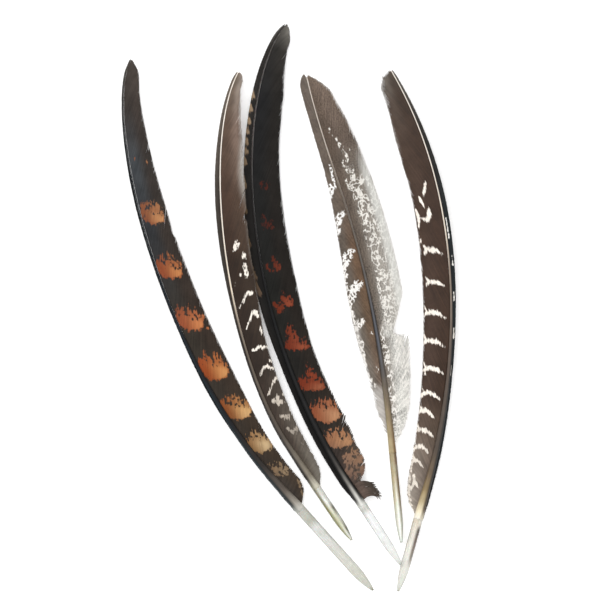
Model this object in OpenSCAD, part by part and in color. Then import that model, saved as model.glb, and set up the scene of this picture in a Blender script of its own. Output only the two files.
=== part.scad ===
// A loose set of five uncut feather quills, lying as a fan on a flat surface.
// Each quill is a hollow horn barrel, a horn shaft filled with pith, and a web of barbs on each side.
// Millimetres. +Z is up, the quills lie on z = 0, and their heads point towards +Y.
// "Foot" is the closed end of a barrel, and "head" is the far end of a feather.
// Left and right are as seen from the foot, looking towards the head.

/* [Web] */
// Thickness of a web of barbs
web_thick = 0.4; // [0.3:0.05:0.6]
// Share of the shaft's radius at which a web is rooted
root_share = 0.9; // [0.8:0.02:0.92]
// Width of web that sags by the whole of its set amount
sag_width = 12; // [8:0.5:16]

/* [Barrel] */
// Wall of the barrel
barrel_wall = 0.35; // [0.2:0.05:0.5]
// Length over which the barrel narrows to its foot
foot_taper = 13; // [8:0.5:15]
// Radius of the small hole at the foot
foot_hole_r = 0.45; // [0.3:0.05:0.6]
// Number of dried cups in each barrel
cup_count = 5; // [3:1:6]
// Wall of a dried cup
cup_wall = 0.12; // [0.1:0.02:0.2]
// Share of its pitch that a dried cup reaches along the barrel
cup_depth = 0.6; // [0.3:0.05:0.9]

/* [Shaft] */
// Radius of the shaft at the head
shaft_head_r = 0.2; // [0.15:0.05:0.5]
// Radius of the pith as a share of the shaft's
pith_share = 0.62; // [0.4:0.02:0.75]

/* [Long dark quill] */
// Foot of the barrel, on its axis
dark_long_foot = [34, -113, 2.1]; // [-150:0.5:150]
// Head of the feather
dark_long_head = [-63, 99, 0.6]; // [-150:0.5:150]
// Headings at the foot and at the head, and the barrel's pitch
dark_long_aim = [132, 62, 0]; // [-10:1:180]
// Straight stretch, then the reach of the bend from each end, and the height it arches to
dark_long_bend = [59, 73, 22, 20]; // [0:1:120]
// Barrel's radius and length, and how quickly the shaft thins beyond it
dark_long_barrel = [2.1, 43, 3.2]; // [1:0.05:60]
// Which side the wide web is on: 1 left, -1 right
dark_long_side = -1; // [-1:2:1]
// Wide web's widths, at eight even steps from its start to the head
dark_long_wide = [7.9, 9, 11.5, 11.9, 11.4, 10.2, 8, 4.9]; // [1:0.1:16]
// Wide web's start along the quill, and the lengths rounded at its foot and head
dark_long_wide_ends = [45, 8, 8]; // [2:1:120]
// Narrow web's widths, at eight even steps
dark_long_narrow = [2.3, 1.3, 1.5, 0.9, 0.9, 1.1, 0.8, 0.6]; // [0.5:0.1:12]
// Narrow web's start along the quill, and its rounded lengths
dark_long_narrow_ends = [44, 6, 6]; // [2:1:120]
// Share of its height that the web sags, and the height that its edge cups up
dark_long_sag = [0.7, 0]; // [0:0.1:4]

/* [Slim brown quill] */
// Foot of the barrel, on its axis
brown_slim_foot = [25.5, -93, 1.7]; // [-150:0.5:150]
// Head of the feather
brown_slim_head = [-20, 94, 2.4]; // [-150:0.5:150]
// Headings at the foot and at the head, and the barrel's pitch
brown_slim_aim = [124, 62.5, 0]; // [-10:0.5:180]
// Straight stretch, then the reach of the bend from each end, and the height it arches to
brown_slim_bend = [45, 46, 32.5, 16.5]; // [0:0.5:120]
// Barrel's radius and length, and how quickly the shaft thins beyond it
brown_slim_barrel = [1.7, 25, 3.2]; // [1:0.05:60]
// Which side the wide web is on: 1 left, -1 right
brown_slim_side = -1; // [-1:2:1]
// Wide web's widths, at eight even steps from its start to the head
brown_slim_wide = [5.2, 7.6, 8.6, 8.9, 9.7, 10, 7.9, 2.8]; // [1:0.1:16]
// Wide web's start along the quill, and the lengths rounded at its foot and head
brown_slim_wide_ends = [25.5, 7, 4]; // [2:0.5:120]
// Narrow web's widths, at eight even steps
brown_slim_narrow = [1.6, 1, 1.1, 1.3, 2, 2.2, 1.5, 0.9]; // [0.5:0.1:12]
// Narrow web's start along the quill, and its rounded lengths
brown_slim_narrow_ends = [30, 6, 4]; // [2:1:120]
// Share of its height that the web sags, and the height that its edge cups up
brown_slim_sag = [0.16, 0]; // [0:0.02:4]

/* [Broad dark quill] */
// Foot of the barrel, on its axis: it lies on the barred quill's barrel
dark_broad_foot = [45.1, -102.7, 5]; // [-150:0.5:150]
// Head of the feather
dark_broad_head = [-1.5, 112.5, 0.6]; // [-150:0.5:150]
// Headings at the foot and at the head, and the barrel's pitch
dark_broad_aim = [123, 50.5, -1]; // [-10:0.5:180]
// Straight stretch, then the reach of the bend from each end, and the height it arches to
dark_broad_bend = [37.5, 95, 26, 7]; // [0:0.5:120]
// Barrel's radius and length, and how quickly the shaft thins beyond it
dark_broad_barrel = [1.85, 28, 2.6]; // [1:0.05:60]
// Which side the wide web is on: 1 left, -1 right
dark_broad_side = -1; // [-1:2:1]
// Wide web's widths, at eight even steps from its start to the head
dark_broad_wide = [10.7, 12.1, 11.4, 12.4, 12.1, 10.9, 10, 4.8]; // [1:0.1:16]
// Wide web's start along the quill, and the lengths rounded at its foot and head
dark_broad_wide_ends = [36, 9, 5]; // [2:1:120]
// Narrow web's widths, at eight even steps
dark_broad_narrow = [2.8, 3.2, 3.1, 4, 4, 3.3, 2.4, 1.3]; // [0.5:0.1:12]
// Narrow web's start along the quill, and its rounded lengths
dark_broad_narrow_ends = [31, 9, 4]; // [2:1:120]
// Share of its height that the web sags, and the height that its edge cups up
dark_broad_sag = [0.5, 0]; // [0:0.1:4]
// Broken tuft at the foot of the wide web: its two ends along the quill, and its width
dark_broad_tuft = [29, 35, 6.4]; // [2:0.1:60]

/* [Marbled quill] */
// Foot of the barrel, on its axis
marbled_foot = [45.3, -94, 2.6]; // [-150:0.1:150]
// Head of the feather
marbled_head = [7.5, 92, 6]; // [-150:0.5:150]
// Headings at the foot and at the head, and the barrel's pitch
marbled_aim = [95.5, 103, -1]; // [-10:0.5:180]
// Straight stretch, then the reach of the bend from each end, and the height it arches to
marbled_bend = [34, 91, 45, 0.6]; // [0:0.5:120]
// Barrel's radius and length, and how quickly the shaft thins beyond it
marbled_barrel = [1.5, 36, 1.9]; // [1:0.05:60]
// Which side the wide web is on: 1 left, -1 right
marbled_side = -1; // [-1:2:1]
// Wide web's widths, at eight even steps from its start to the head
marbled_wide = [8.2, 10.3, 12.9, 13.5, 13.7, 13.1, 11.1, 6.5]; // [1:0.1:16]
// Wide web's start along the quill, and the lengths rounded at its foot and head
marbled_wide_ends = [40.5, 20, 12]; // [2:1:120]
// Where the wide web is split, and the gap there
marbled_split = [82.5, 1.5]; // [0.5:0.5:120]
// Narrow web's widths, at eight even steps
marbled_narrow = [3.2, 6, 8.6, 8.5, 6.5, 4.1, 3.4, 3.6]; // [0.5:0.1:12]
// Narrow web's start along the quill, and its rounded lengths
marbled_narrow_ends = [44, 10, 4]; // [2:1:120]
// Share of its height that the web sags, and the height that its edge cups up
marbled_sag = [0, 3]; // [0:0.1:4]

/* [Barred brown quill] */
// Foot of the barrel, on its axis
brown_barred_foot = [44, -113.5, 1.9]; // [-150:0.5:150]
// Head of the feather
brown_barred_head = [41.5, 94.5, 0.6]; // [-150:0.5:150]
// Headings at the foot and at the head, and the barrel's pitch
brown_barred_aim = [74.5, 120, 0]; // [-10:0.5:180]
// Straight stretch, then the reach of the bend from each end, and the height it arches to
brown_barred_bend = [48.5, 37, 65, 19]; // [0:0.5:120]
// Barrel's radius and length, and how quickly the shaft thins beyond it
brown_barred_barrel = [1.9, 30, 2.4]; // [1:0.05:60]
// Which side the wide web is on: 1 left, -1 right
brown_barred_side = 1; // [-1:2:1]
// Wide web's widths, at eight even steps from its start to the head
brown_barred_wide = [7.6, 9.3, 10.4, 11.2, 11.3, 10.9, 10.5, 5.5]; // [1:0.1:16]
// Wide web's start along the quill, and the lengths rounded at its foot and head
brown_barred_wide_ends = [32, 12, 3]; // [2:1:120]
// Narrow web's widths, at eight even steps
brown_barred_narrow = [2.3, 2.1, 1.6, 1.7, 2.1, 2.2, 1.6, 0.8]; // [0.5:0.1:12]
// Narrow web's start along the quill, and its rounded lengths
brown_barred_narrow_ends = [30, 6, 6]; // [2:1:120]
// Share of its height that the web sags, and the height that its edge cups up
brown_barred_sag = [0.7, 0]; // [0:0.1:4]

/* [Hidden] */
// Moves the set so that its box is centred on the origin
centring = [-0.24, 0.46, 0];
shaft_rings = 28;
shaft_sides = 8;
web_rows = 24;
web_columns = 3;
// Least reach of a web beyond its root
web_least = 0.3;
// Bare end of the shaft beyond the webs
bare_end = 0.3;
sag_power = 1.6;
bend_samples = 60;
barrel_fn = 48;
// A dried cup's floor: the share of the bore that it spans, how far it has risen there, and how far
// it has risen at the wall
cup_floor_share = 0.6;
cup_dip = 0.25;
cup_rim = 1;
// How far the row of dried cups stops short of the barrel's taper and of its end, together
cup_margin = 2;

function properties(foot, head, aim, bend, barrel, side, wide, wide_ends, narrow, narrow_ends, sag, tint) =
    [["foot", foot], ["head", head], ["aim", aim], ["bend", bend], ["barrel", barrel], ["side", side],
        ["wide", wide], ["wide_ends", wide_ends], ["narrow", narrow], ["narrow_ends", narrow_ends],
        ["sag", sag], ["tint", tint]];

QUILLS = [
    ["dark_long", properties(dark_long_foot, dark_long_head, dark_long_aim, dark_long_bend,
        dark_long_barrel, dark_long_side, dark_long_wide, dark_long_wide_ends, dark_long_narrow,
        dark_long_narrow_ends, dark_long_sag, [0.18, 0.16, 0.16])],
    ["brown_slim", properties(brown_slim_foot, brown_slim_head, brown_slim_aim, brown_slim_bend,
        brown_slim_barrel, brown_slim_side, brown_slim_wide, brown_slim_wide_ends, brown_slim_narrow,
        brown_slim_narrow_ends, brown_slim_sag, [0.42, 0.34, 0.28])],
    ["dark_broad", properties(dark_broad_foot, dark_broad_head, dark_broad_aim, dark_broad_bend,
        dark_broad_barrel, dark_broad_side, dark_broad_wide, dark_broad_wide_ends, dark_broad_narrow,
        dark_broad_narrow_ends, dark_broad_sag, [0.15, 0.14, 0.13])],
    ["marbled", properties(marbled_foot, marbled_head, marbled_aim, marbled_bend, marbled_barrel,
        marbled_side, marbled_wide, marbled_wide_ends, marbled_narrow, marbled_narrow_ends,
        marbled_sag, [0.62, 0.58, 0.53])],
    ["brown_barred", properties(brown_barred_foot, brown_barred_head, brown_barred_aim,
        brown_barred_bend, brown_barred_barrel, brown_barred_side, brown_barred_wide,
        brown_barred_wide_ends, brown_barred_narrow, brown_barred_narrow_ends, brown_barred_sag,
        [0.31, 0.23, 0.19])]];

KINDS = ["barrel", "foot_plug", "dried_cups", "shaft", "pith", "wide_web", "narrow_web"];

// --- A quill's centre line ---

// The value of a quill's property, by name
function of(q, name) = q[search([name], q)[0]][1];
function unit(v) = v / norm(v);
function heading(a, pitch = 0) = [cos(a) * cos(pitch), sin(a) * cos(pitch), sin(pitch)];

function foot_aim(q) = heading(of(q, "aim")[0], of(q, "aim")[2]);
function foot_place(q) = of(q, "foot") + centring;
function along_barrel(q, s) = foot_place(q) + s * foot_aim(q);

// The bend's four control points, from the end of the straight stretch to the head
function bend_controls(q) =
    let (bend = of(q, "bend"), start = along_barrel(q, bend[0]), head = of(q, "head") + centring,
        before_head = head - bend[2] * heading(of(q, "aim")[1]))
    [start, start + bend[1] * foot_aim(q), [before_head[0], before_head[1], bend[3]], head];

function on_bend(p, t) =
    pow(1 - t, 3) * p[0] + 3 * pow(1 - t, 2) * t * p[1] + 3 * (1 - t) * t * t * p[2] + pow(t, 3) * p[3];

// Pairs of [distance along the quill, place on the bend from 0 to 1]
function bend_table(q) =
    let (p = bend_controls(q), n = bend_samples)
    [for (i = 0, s = of(q, "bend")[0]; i <= n;
        s = s + norm(on_bend(p, (i + 1) / n) - on_bend(p, i / n)), i = i + 1) [s, i / n]];

function quill_length(q) = bend_table(q)[bend_samples][0];

function on_axis(q, table, s) =
    s <= of(q, "bend")[0] ? along_barrel(q, s) : on_bend(bend_controls(q), lookup(s, table));

// A station is [centre, direction towards the head, left, up].
function station(q, table, s) =
    let (last = table[bend_samples][0], step = 0.5, front = min(s + step, last),
        forward = unit(on_axis(q, table, front) - on_axis(q, table, front - 2 * step)),
        left = unit(cross([0, 0, 1], forward)))
    [on_axis(q, table, s), forward, left, cross(forward, left)];

// --- Shaft ---

function shaft_r(q, length, s) =
    let (r = of(q, "barrel")[0], start = of(q, "barrel")[1],
        left_over = 1 - max(0, s - start) / (length - start))
    shaft_head_r + (r - shaft_head_r) * pow(max(0, left_over), of(q, "barrel")[2]);

function ring(at, r) =
    [for (k = [0 : shaft_sides - 1]) let (a = -360 * (k + 0.5) / shaft_sides)
        at[0] + r * (cos(a) * at[2] + sin(a) * at[3])];

// One ring of points for each station of the shaft, at a share of the shaft's radius
function shaft_rings_at(q, share) =
    let (table = bend_table(q), start = of(q, "barrel")[1], length = table[bend_samples][0])
    [for (i = [0 : shaft_rings - 1])
        let (s = start + (length - start) * i / (shaft_rings - 1))
        each ring(station(q, table, s), share * shaft_r(q, length, s))];

// Quads that join each ring to the next, facing outwards, or inwards for a bore
function wall_faces(offset = 0, inward = false) =
    [for (i = [0 : shaft_rings - 2], k = [0 : shaft_sides - 1])
        let (a = offset + i * shaft_sides + k, b = offset + i * shaft_sides + (k + 1) % shaft_sides,
            c = b + shaft_sides, d = a + shaft_sides)
        inward ? [a, d, c, b] : [a, b, c, d]];

module shaft(q) {
    n = shaft_sides;
    bore = n * shaft_rings;
    last = n * (shaft_rings - 1);
    foot_face = [for (k = [0 : n - 1]) [k, bore + k, bore + (k + 1) % n, (k + 1) % n]];
    head_face = [for (k = [0 : n - 1])
        [last + k, last + (k + 1) % n, bore + last + (k + 1) % n, bore + last + k]];
    color("tan") polyhedron(concat(shaft_rings_at(q, 1), shaft_rings_at(q, pith_share)),
        concat(wall_faces(), wall_faces(bore, inward = true), foot_face, head_face));
}

module pith(q) {
    n = shaft_sides;
    last = n * (shaft_rings - 1);
    color("cornsilk") polyhedron(shaft_rings_at(q, pith_share),
        concat(wall_faces(), [[for (k = [n - 1 : -1 : 0]) k], [for (k = [0 : n - 1]) last + k]]));
}

// --- Webs of barbs ---

// A smooth curve through a list of values at even steps, for x from 0 to 1
function through(v, x) =
    let (n = len(v) - 1, i = min(n - 1, floor(n * x)), t = n * x - i, a = v[max(0, i - 1)], b = v[i],
        c = v[i + 1], d = v[min(n, i + 2)])
    b + 0.5 * t * (c - a + t * (2 * a - 5 * b + 4 * c - d + t * (3 * (b - c) + d - a)));

function rounded(x, length) = x >= length ? 1 : sqrt(max(0, 1 - pow(1 - x / length, 2)));

// The width of a web at distance s, from its widths and its [start, foot round, head round]
function web_width(widths, ends, length, s) =
    through(widths, (s - ends[0]) / (length - ends[0])) * rounded(s - ends[0], ends[1])
        * rounded(length - s, ends[2]);

// A point of a web, d out from the axis: the web sags or cups up more the further out it is
function on_web(q, at, side, d, lift) =
    let (sag = of(q, "sag"), share = pow(d / sag_width, sag_power), c = at[0] + side * d * at[2])
    [c[0], c[1], c[2] * (1 - sag[0] * share) + sag[1] * share + lift];

// A thin sheet on one side of the shaft, between two distances along the quill
module web(q, side, widths, ends, from, to) {
    table = bend_table(q);
    length = table[bend_samples][0];
    across = web_columns + 1;
    under = across * (web_rows + 1);
    rows = [for (i = [0 : web_rows])
        let (s = from + (to - from) * (1 - cos(180 * i / web_rows)) / 2,
            root = root_share * shaft_r(q, length, s),
            tip = max(root + web_least, web_width(widths, ends, length, s)))
        [station(q, table, s), root, tip]];
    function layer(lift) = [for (row = rows, j = [0 : web_columns])
        on_web(q, row[0], side, row[1] + (row[2] - row[1]) * j / web_columns, lift)];
    function skin(offset, flip) = [for (i = [0 : web_rows - 1], j = [0 : web_columns - 1])
        let (a = offset + i * across + j, b = a + 1, c = b + across, d = a + across)
        each flip ? [[a, c, b], [a, d, c]] : [[a, b, c], [a, c, d]]];
    rim = concat([for (j = [0 : web_columns]) j],
        [for (i = [1 : web_rows]) i * across + web_columns],
        [for (j = [web_columns - 1 : -1 : 0]) web_rows * across + j],
        [for (i = [web_rows - 1 : -1 : 1]) i * across]);
    edge = [for (k = [0 : len(rim) - 1]) let (a = rim[k], b = rim[(k + 1) % len(rim)])
        side > 0 ? [a, a + under, b + under, b] : [a, b, b + under, a + under]];
    color(of(q, "tint")) polyhedron(concat(layer(web_thick / 2), layer(-web_thick / 2)),
        concat(skin(0, side < 0), skin(under, side > 0), edge));
}

module wide_web(q, from, to) {
    web(q, of(q, "side"), of(q, "wide"), of(q, "wide_ends"), from, to);
}

module narrow_web(q) {
    ends = of(q, "narrow_ends");
    web(q, -of(q, "side"), of(q, "narrow"), ends, ends[0], quill_length(q) - bare_end);
}

// A short clump of barbs below the wide web, given by its two ends along the quill and its width
module loose_tuft(q, shape) {
    rounding = (shape[1] - shape[0]) / 2;
    web(q, of(q, "side"), [shape[2], shape[2]], [shape[0], rounding, rounding], shape[0], shape[1]);
}

// --- Barrel and what it holds ---

module on_barrel(q) {
    aim = of(q, "aim");
    translate(foot_place(q)) rotate([0, 90 - aim[2], aim[0]]) children();
}

// A wall that widens from r0 to r1 over a length, straightening as it goes
function flare(r0, r1, rise, length) =
    [for (x = [0 : 0.125 : 1]) [r1 - (r1 - r0) * pow(1 - x, 2), rise + x * length]];

module barrel(q) {
    r = of(q, "barrel")[0];
    length = of(q, "barrel")[1];
    bore_r = r - barrel_wall;
    outside = flare(foot_hole_r, r, 0, foot_taper);
    inside = flare(foot_hole_r, bore_r, barrel_wall, foot_taper - barrel_wall);
    color("ivory") on_barrel(q) rotate_extrude($fn = barrel_fn)
        polygon(concat(outside, [[r, length], [bore_r, length]],
            [for (k = [len(inside) - 1 : -1 : 0]) inside[k]]));
}

module foot_plug(q) {
    color("saddlebrown") on_barrel(q) cylinder(r = foot_hole_r, h = barrel_wall, $fn = 24);
}

// Thin cups, one behind the other, left by the living core of the barrel
module dried_cups(q) {
    r = of(q, "barrel")[0] - barrel_wall;
    pitch = (of(q, "barrel")[1] - foot_taper - cup_margin) / cup_count;
    depth = cup_depth * pitch;
    floor_r = cup_floor_share * r;
    color("burlywood") on_barrel(q)
        for (i = [0 : cup_count - 1]) translate([0, 0, foot_taper + cup_margin / 2 + i * pitch])
            rotate_extrude($fn = barrel_fn)
                polygon([[0, 0], [floor_r, cup_dip], [r, cup_rim], [r, depth], [r - cup_wall, depth],
                    [r - cup_wall, cup_rim + cup_wall], [floor_r, cup_dip + cup_wall], [0, cup_wall]]);
}

// --- The set ---

module draw_quill(name, q) {
    wide_start = name == "marbled" ? marbled_split[0] + marbled_split[1] : of(q, "wide_ends")[0];
    barrel(q);
    foot_plug(q);
    dried_cups(q);
    shaft(q);
    pith(q);
    wide_web(q, wide_start, quill_length(q) - bare_end);
    narrow_web(q);
}

for (quill = QUILLS) draw_quill(quill[0], quill[1]);
loose_tuft(QUILLS[2][1], dark_broad_tuft);  // dark_broad_loose_tuft
wide_web(QUILLS[3][1], marbled_wide_ends[0], marbled_split[0]);  // marbled_lower_web
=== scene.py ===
import math

import bmesh
import bpy
import numpy as np
from numpy.linalg import norm
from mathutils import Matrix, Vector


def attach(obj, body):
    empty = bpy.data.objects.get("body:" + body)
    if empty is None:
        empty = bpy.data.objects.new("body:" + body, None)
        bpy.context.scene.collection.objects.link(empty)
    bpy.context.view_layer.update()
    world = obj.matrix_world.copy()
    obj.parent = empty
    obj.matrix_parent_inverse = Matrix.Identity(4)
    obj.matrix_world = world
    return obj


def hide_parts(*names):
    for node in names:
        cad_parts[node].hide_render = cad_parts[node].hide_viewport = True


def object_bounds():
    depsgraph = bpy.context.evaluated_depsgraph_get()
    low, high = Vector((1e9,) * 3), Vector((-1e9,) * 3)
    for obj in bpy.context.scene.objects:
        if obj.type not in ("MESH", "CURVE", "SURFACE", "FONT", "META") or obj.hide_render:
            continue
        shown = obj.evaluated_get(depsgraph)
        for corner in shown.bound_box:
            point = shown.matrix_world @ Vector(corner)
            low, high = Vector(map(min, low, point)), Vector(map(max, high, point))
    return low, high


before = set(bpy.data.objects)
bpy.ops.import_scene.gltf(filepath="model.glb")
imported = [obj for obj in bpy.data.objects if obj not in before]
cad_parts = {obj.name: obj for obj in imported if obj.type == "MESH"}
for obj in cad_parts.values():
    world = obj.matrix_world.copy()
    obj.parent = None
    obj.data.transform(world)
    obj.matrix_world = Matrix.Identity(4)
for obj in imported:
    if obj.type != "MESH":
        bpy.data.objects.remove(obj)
cad_low, cad_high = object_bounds()

# Lengths are in millimetres until a mesh is made. A place on a quill is (s, d): s along its centre
# line from the foot, d out from the centre line.
MM = 0.001
UP = np.array([0.0, 0.0, 1.0])

RING_LINK = 2.0  # corners closer than this belong to one ring of the shaft
ROW_GAP = 0.12  # corners closer than this along the quill belong to one row of a web
SAME = 0.02  # corners that differ by less than this count as equally far out
SPINE_STEP = 0.25
SAG_POWER = 1.6  # how the webs of the frame hang, from the shaft to the edge
NARROWEST = 0.5  # a place's share of the web's width counts from at least this width

BARB_STEP = 0.5  # from one barb's root to the next
ROOT_DEPTH = 0.72  # barbs leave the shaft at this share of its radius
LAST_ROOT = 0.4  # from the last barb's root to the end of the shaft
MARCH = 0.25  # step that a growing barb takes
LONGEST_BARB = 45.0
SHORTEST_BARB = 0.6
CURL_LENGTH = 7.0  # a barb's turn towards the head dies out over this length
FOOT_RUN = 22.0  # the barbs take on their second angle this far from the start of the web
HEAD_RUN = 45.0  # and their third this far from the head
END_RUN = 3.0  # and their fourth this far from the head
CROWDING = 1.25  # by this power the points of a barb lie closer together towards its tip
ZIPPED = 0.93  # share of a whole barb's length that is zipped to its neighbours
TEAR = 1.1  # neighbours whose lengths differ by more than this are not zipped
WIDEST = 0.56  # a barb's side reaches at most this share of the way to its neighbour's first place
ROWS = np.array([-0.5, 0.0, 0.5])  # a barb's foot side, ridge and head side
RIDGE = 0.07  # how far a barb stands above the valleys beside it
SHEET_THICK = 0.1
STRAND_THICK = 0.06

MARK_EDGE = 0.9  # width of the soft edge of a stroke
PATCH_EDGE = 1.5  # width of the soft edge of a patch
PATCH_POWER = 2.4  # how square a patch is: 2 is an ellipse
LEAN = 0.3  # how far a patch leans towards the foot for each millimetre outwards

SHAFT_SIDES = 28
BARREL_SIDES = 40
PLUG_SIDES = 24
CUPS = 5


# --- Reading the frame ---

def node_points(name):
    """A CAD node's corners."""
    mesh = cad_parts[name].data
    flat = np.empty(3 * len(mesh.vertices), np.float32)
    mesh.vertices.foreach_get("co", flat)
    return np.unique((flat.reshape(-1, 3) / MM).round(4), axis=0)


def clusters(points, link):
    """The points in groups, each point within link of another of its group."""
    near = norm(points[:, None] - points[None], axis=2) < link
    group = np.arange(len(points))
    while True:
        joined = np.where(near, group, len(points)).min(axis=1)
        if (joined == group).all():
            return [points[group == g] for g in np.unique(group)]
        group = joined


def in_order(rings, place):
    """The rings in the order in which they follow each other, from the one nearest to place."""
    left, ordered = list(rings), []
    while left:
        distances = [norm(ring.mean(axis=0) - place) for ring in left]
        ordered.append(left.pop(int(np.argmin(distances))))
        place = ordered[-1].mean(axis=0)
    return ordered


def unit(vectors):
    return vectors / norm(vectors, axis=-1, keepdims=True)


def hermite(a, b, slope_a, slope_b, t):
    rise = t * t * (3 - 2 * t)
    return a + rise * (b - a) + t * (1 - t) ** 2 * slope_a + t * t * (t - 1) * slope_b


def smooth_curve(knots, aim):
    """Close points along a smooth curve that starts straight along aim, and each knot's index."""
    chords = norm(np.diff(knots, axis=0), axis=1)
    slopes = np.gradient(knots, np.concatenate([[0], np.cumsum(chords)]), axis=0, edge_order=2)
    slopes[0] = slopes[1] = aim
    parts, at_knot = [knots[:1]], [0]
    for i, chord in enumerate(chords):
        count = max(2, round(chord / SPINE_STEP))
        t = np.linspace(0, 1, count + 1)[1:, None]
        parts.append(hermite(knots[i], knots[i + 1], chord * slopes[i], chord * slopes[i + 1], t))
        at_knot.append(at_knot[-1] + count)
    return np.vstack(parts), at_knot


class Quill:
    """A quill's centre line and radii, through its foot and the rings of its shaft."""

    def __init__(self, name, seed):
        self.name, self.seed = name, seed
        plug = node_points(f"{name}_foot_plug")
        middle = plug.mean(axis=0)
        rings = in_order(clusters(node_points(f"{name}_shaft"), RING_LINK), middle)
        centres = np.array([ring.mean(axis=0) for ring in rings])
        aim = unit(centres[0] - middle)
        self.wall = np.ptp(plug @ aim)
        foot = middle - aim * self.wall / 2
        self.points, at_knot = smooth_curve(np.vstack([foot, centres]), aim)
        steps = norm(np.diff(self.points, axis=0), axis=1)
        self.s = np.concatenate([[0], np.cumsum(steps)])
        self.forward = unit(np.gradient(self.points, self.s, axis=0))
        self.length = self.s[-1]
        self.hole = norm(np.cross(plug - middle, self.forward[0]), axis=1).max()
        self.ring_s = self.s[at_knot[1:]]
        away = [norm(ring - centre, axis=1) for ring, centre in zip(rings, centres)]
        self.ring_r = np.array([a.max() for a in away])
        self.bore_r = np.array([a.min() for a in away])
        self.barrel_length = self.ring_s[0]

    def at(self, s):
        """Centre, direction towards the head and level left, also past the two ends."""
        inside = np.clip(s, 0, self.length)
        centre = np.stack([np.interp(inside, self.s, column) for column in self.points.T], -1)
        forward = unit(np.stack([np.interp(inside, self.s, column) for column in self.forward.T], -1))
        return centre + (s - inside)[..., None] * forward, forward, unit(np.cross(UP, forward))

    def radius(self, s):
        return np.interp(s, self.ring_s, self.ring_r)

    def bore(self, s):
        return np.interp(s, self.ring_s, self.bore_r)

    def project(self, points):
        """(s, d) of points, seen from above; d is the distance to either side."""
        away = norm(points[:, None, :2] - self.points[None, :, :2], axis=2)
        near = away.argmin(axis=1)
        offset = points - self.points[near]
        ahead = unit(self.forward[near, :2])
        s = self.s[near] + (offset[:, :2] * ahead).sum(axis=1)
        return s, np.abs(ahead[:, 0] * offset[:, 1] - ahead[:, 1] * offset[:, 0])


class Outline:
    """How wide a web is and how far its edge hangs below the shaft, along the quill."""

    def __init__(self, quill, nodes, plan):
        points = np.vstack([node_points(node) for node in nodes])
        s, d = quill.project(points)
        rows = [np.abs(s - x) < ROW_GAP for x in s]
        edge = [i for i, row in enumerate(rows) if d[i] > d[row].max() - SAME]
        edge.sort(key=lambda i: s[i])
        self.s = s[edge]
        self.start = self.s[0]
        self.widths = d[edge]
        heights = np.array([np.mean(points[rows[i] & (d > d[i] - SAME), 2]) for i in edge])
        self.droops = heights - quill.at(self.s)[0][:, 2]
        self.trim = np.array(plan.get("trim", [(0, 0)]), float)
        rounding, reach, self.head_power = plan.get("head", (5.0, 0.6, 0.5))
        self.end = quill.length + reach
        self.round_start = quill.length - rounding

    def width(self, s):
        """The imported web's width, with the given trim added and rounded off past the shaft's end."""
        width = np.interp(np.minimum(s, self.round_start), self.s, self.widths, left=0)
        width = width + np.interp(s, self.trim[:, 0], self.trim[:, 1], left=0, right=0)
        share = np.clip((s - self.round_start) / (self.end - self.round_start), 0, 1)
        return np.maximum(width * (1 - share**2) ** self.head_power, 0.0)

    def droop(self, s, d):
        share = np.clip(d / np.maximum(np.interp(s, self.s, self.widths), NARROWEST), 0, 1)
        return np.interp(s, self.s, self.droops) * share**SAG_POWER


# --- Meshes ---

def welded(points, faces):
    """The points without doubles, the faces on them, and the index of each kept point."""
    _, first, index = np.unique(points.round(5), axis=0, return_index=True, return_inverse=True)
    faces = index.reshape(-1)[faces]
    kept = []
    for face in faces.tolist():
        corners = [c for k, c in enumerate(face) if c != face[k - 1]]
        if len(set(corners)) > 2:
            kept.append(corners)
    return points[first], kept, first


def add_object(name, data):
    thing = bpy.data.objects.new(name, data)
    bpy.context.scene.collection.objects.link(thing)
    return thing


def make_object(name, points, faces, attributes, material, closed=True):
    """A smooth mesh object with its point attributes; a closed one gets its normals outwards."""
    points, faces, kept = welded(points, faces)
    mesh = bpy.data.meshes.new(name)
    mesh.from_pydata((points * MM).tolist(), [], faces)
    for label, values in attributes.items():
        layer = mesh.attributes.new(label, "FLOAT_VECTOR", "POINT")
        layer.data.foreach_set("vector", values[kept].astype(np.float32).ravel())
    if closed:
        shell = bmesh.new()
        shell.from_mesh(mesh)
        bmesh.ops.recalc_face_normals(shell, faces=shell.faces)
        shell.to_mesh(mesh)
        shell.free()
    mesh.polygons.foreach_set("use_smooth", [True] * len(mesh.polygons))
    mesh.materials.append(material)
    return add_object(name, mesh)


def finish_piece(thing, quill, node):
    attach(thing, quill.name)
    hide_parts(f"{quill.name}_{node}")


def make_shell(quill, label, node, rings, faces, material):
    """A closed piece that takes the place of a node, from rings that shell_points gives."""
    points, place = [np.vstack(parts) for parts in zip(*rings)]
    thing = make_object(f"{quill.name}_{label}", points, faces, {"shaft": place}, material)
    finish_piece(thing, quill, node)


def ring_grid(rings, sides):
    """Quads of a closed shell whose rings follow each other and meet again at the end."""
    i, k = np.meshgrid(np.arange(rings), np.arange(sides), indexing="ij")
    after, beside = (i + 1) % rings, (k + 1) % sides
    quads = [i * sides + k, i * sides + beside, after * sides + beside, after * sides + k]
    return np.stack(quads, -1).reshape(-1, 4)


def shell_points(quill, s, r, sides, shape=None):
    """Rings round the centre line at distances s with radii r, and each point's (s, left, top)."""
    centre, forward, left = quill.at(s)
    top = np.cross(forward, left)
    angle = np.linspace(0, 2 * math.pi, sides, endpoint=False)
    reach = np.repeat(r[:, None], sides, axis=1)
    if shape is not None:
        reach = reach * shape(s[:, None], angle[None])
    ring = left[:, None] * np.cos(angle)[None, :, None] + top[:, None] * np.sin(angle)[None, :, None]
    points = centre[:, None] + ring * reach[..., None]
    place = np.broadcast_arrays(s[:, None], np.cos(angle)[None], np.sin(angle)[None])
    return points.reshape(-1, 3), np.stack(place, -1).reshape(-1, 3)


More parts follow.
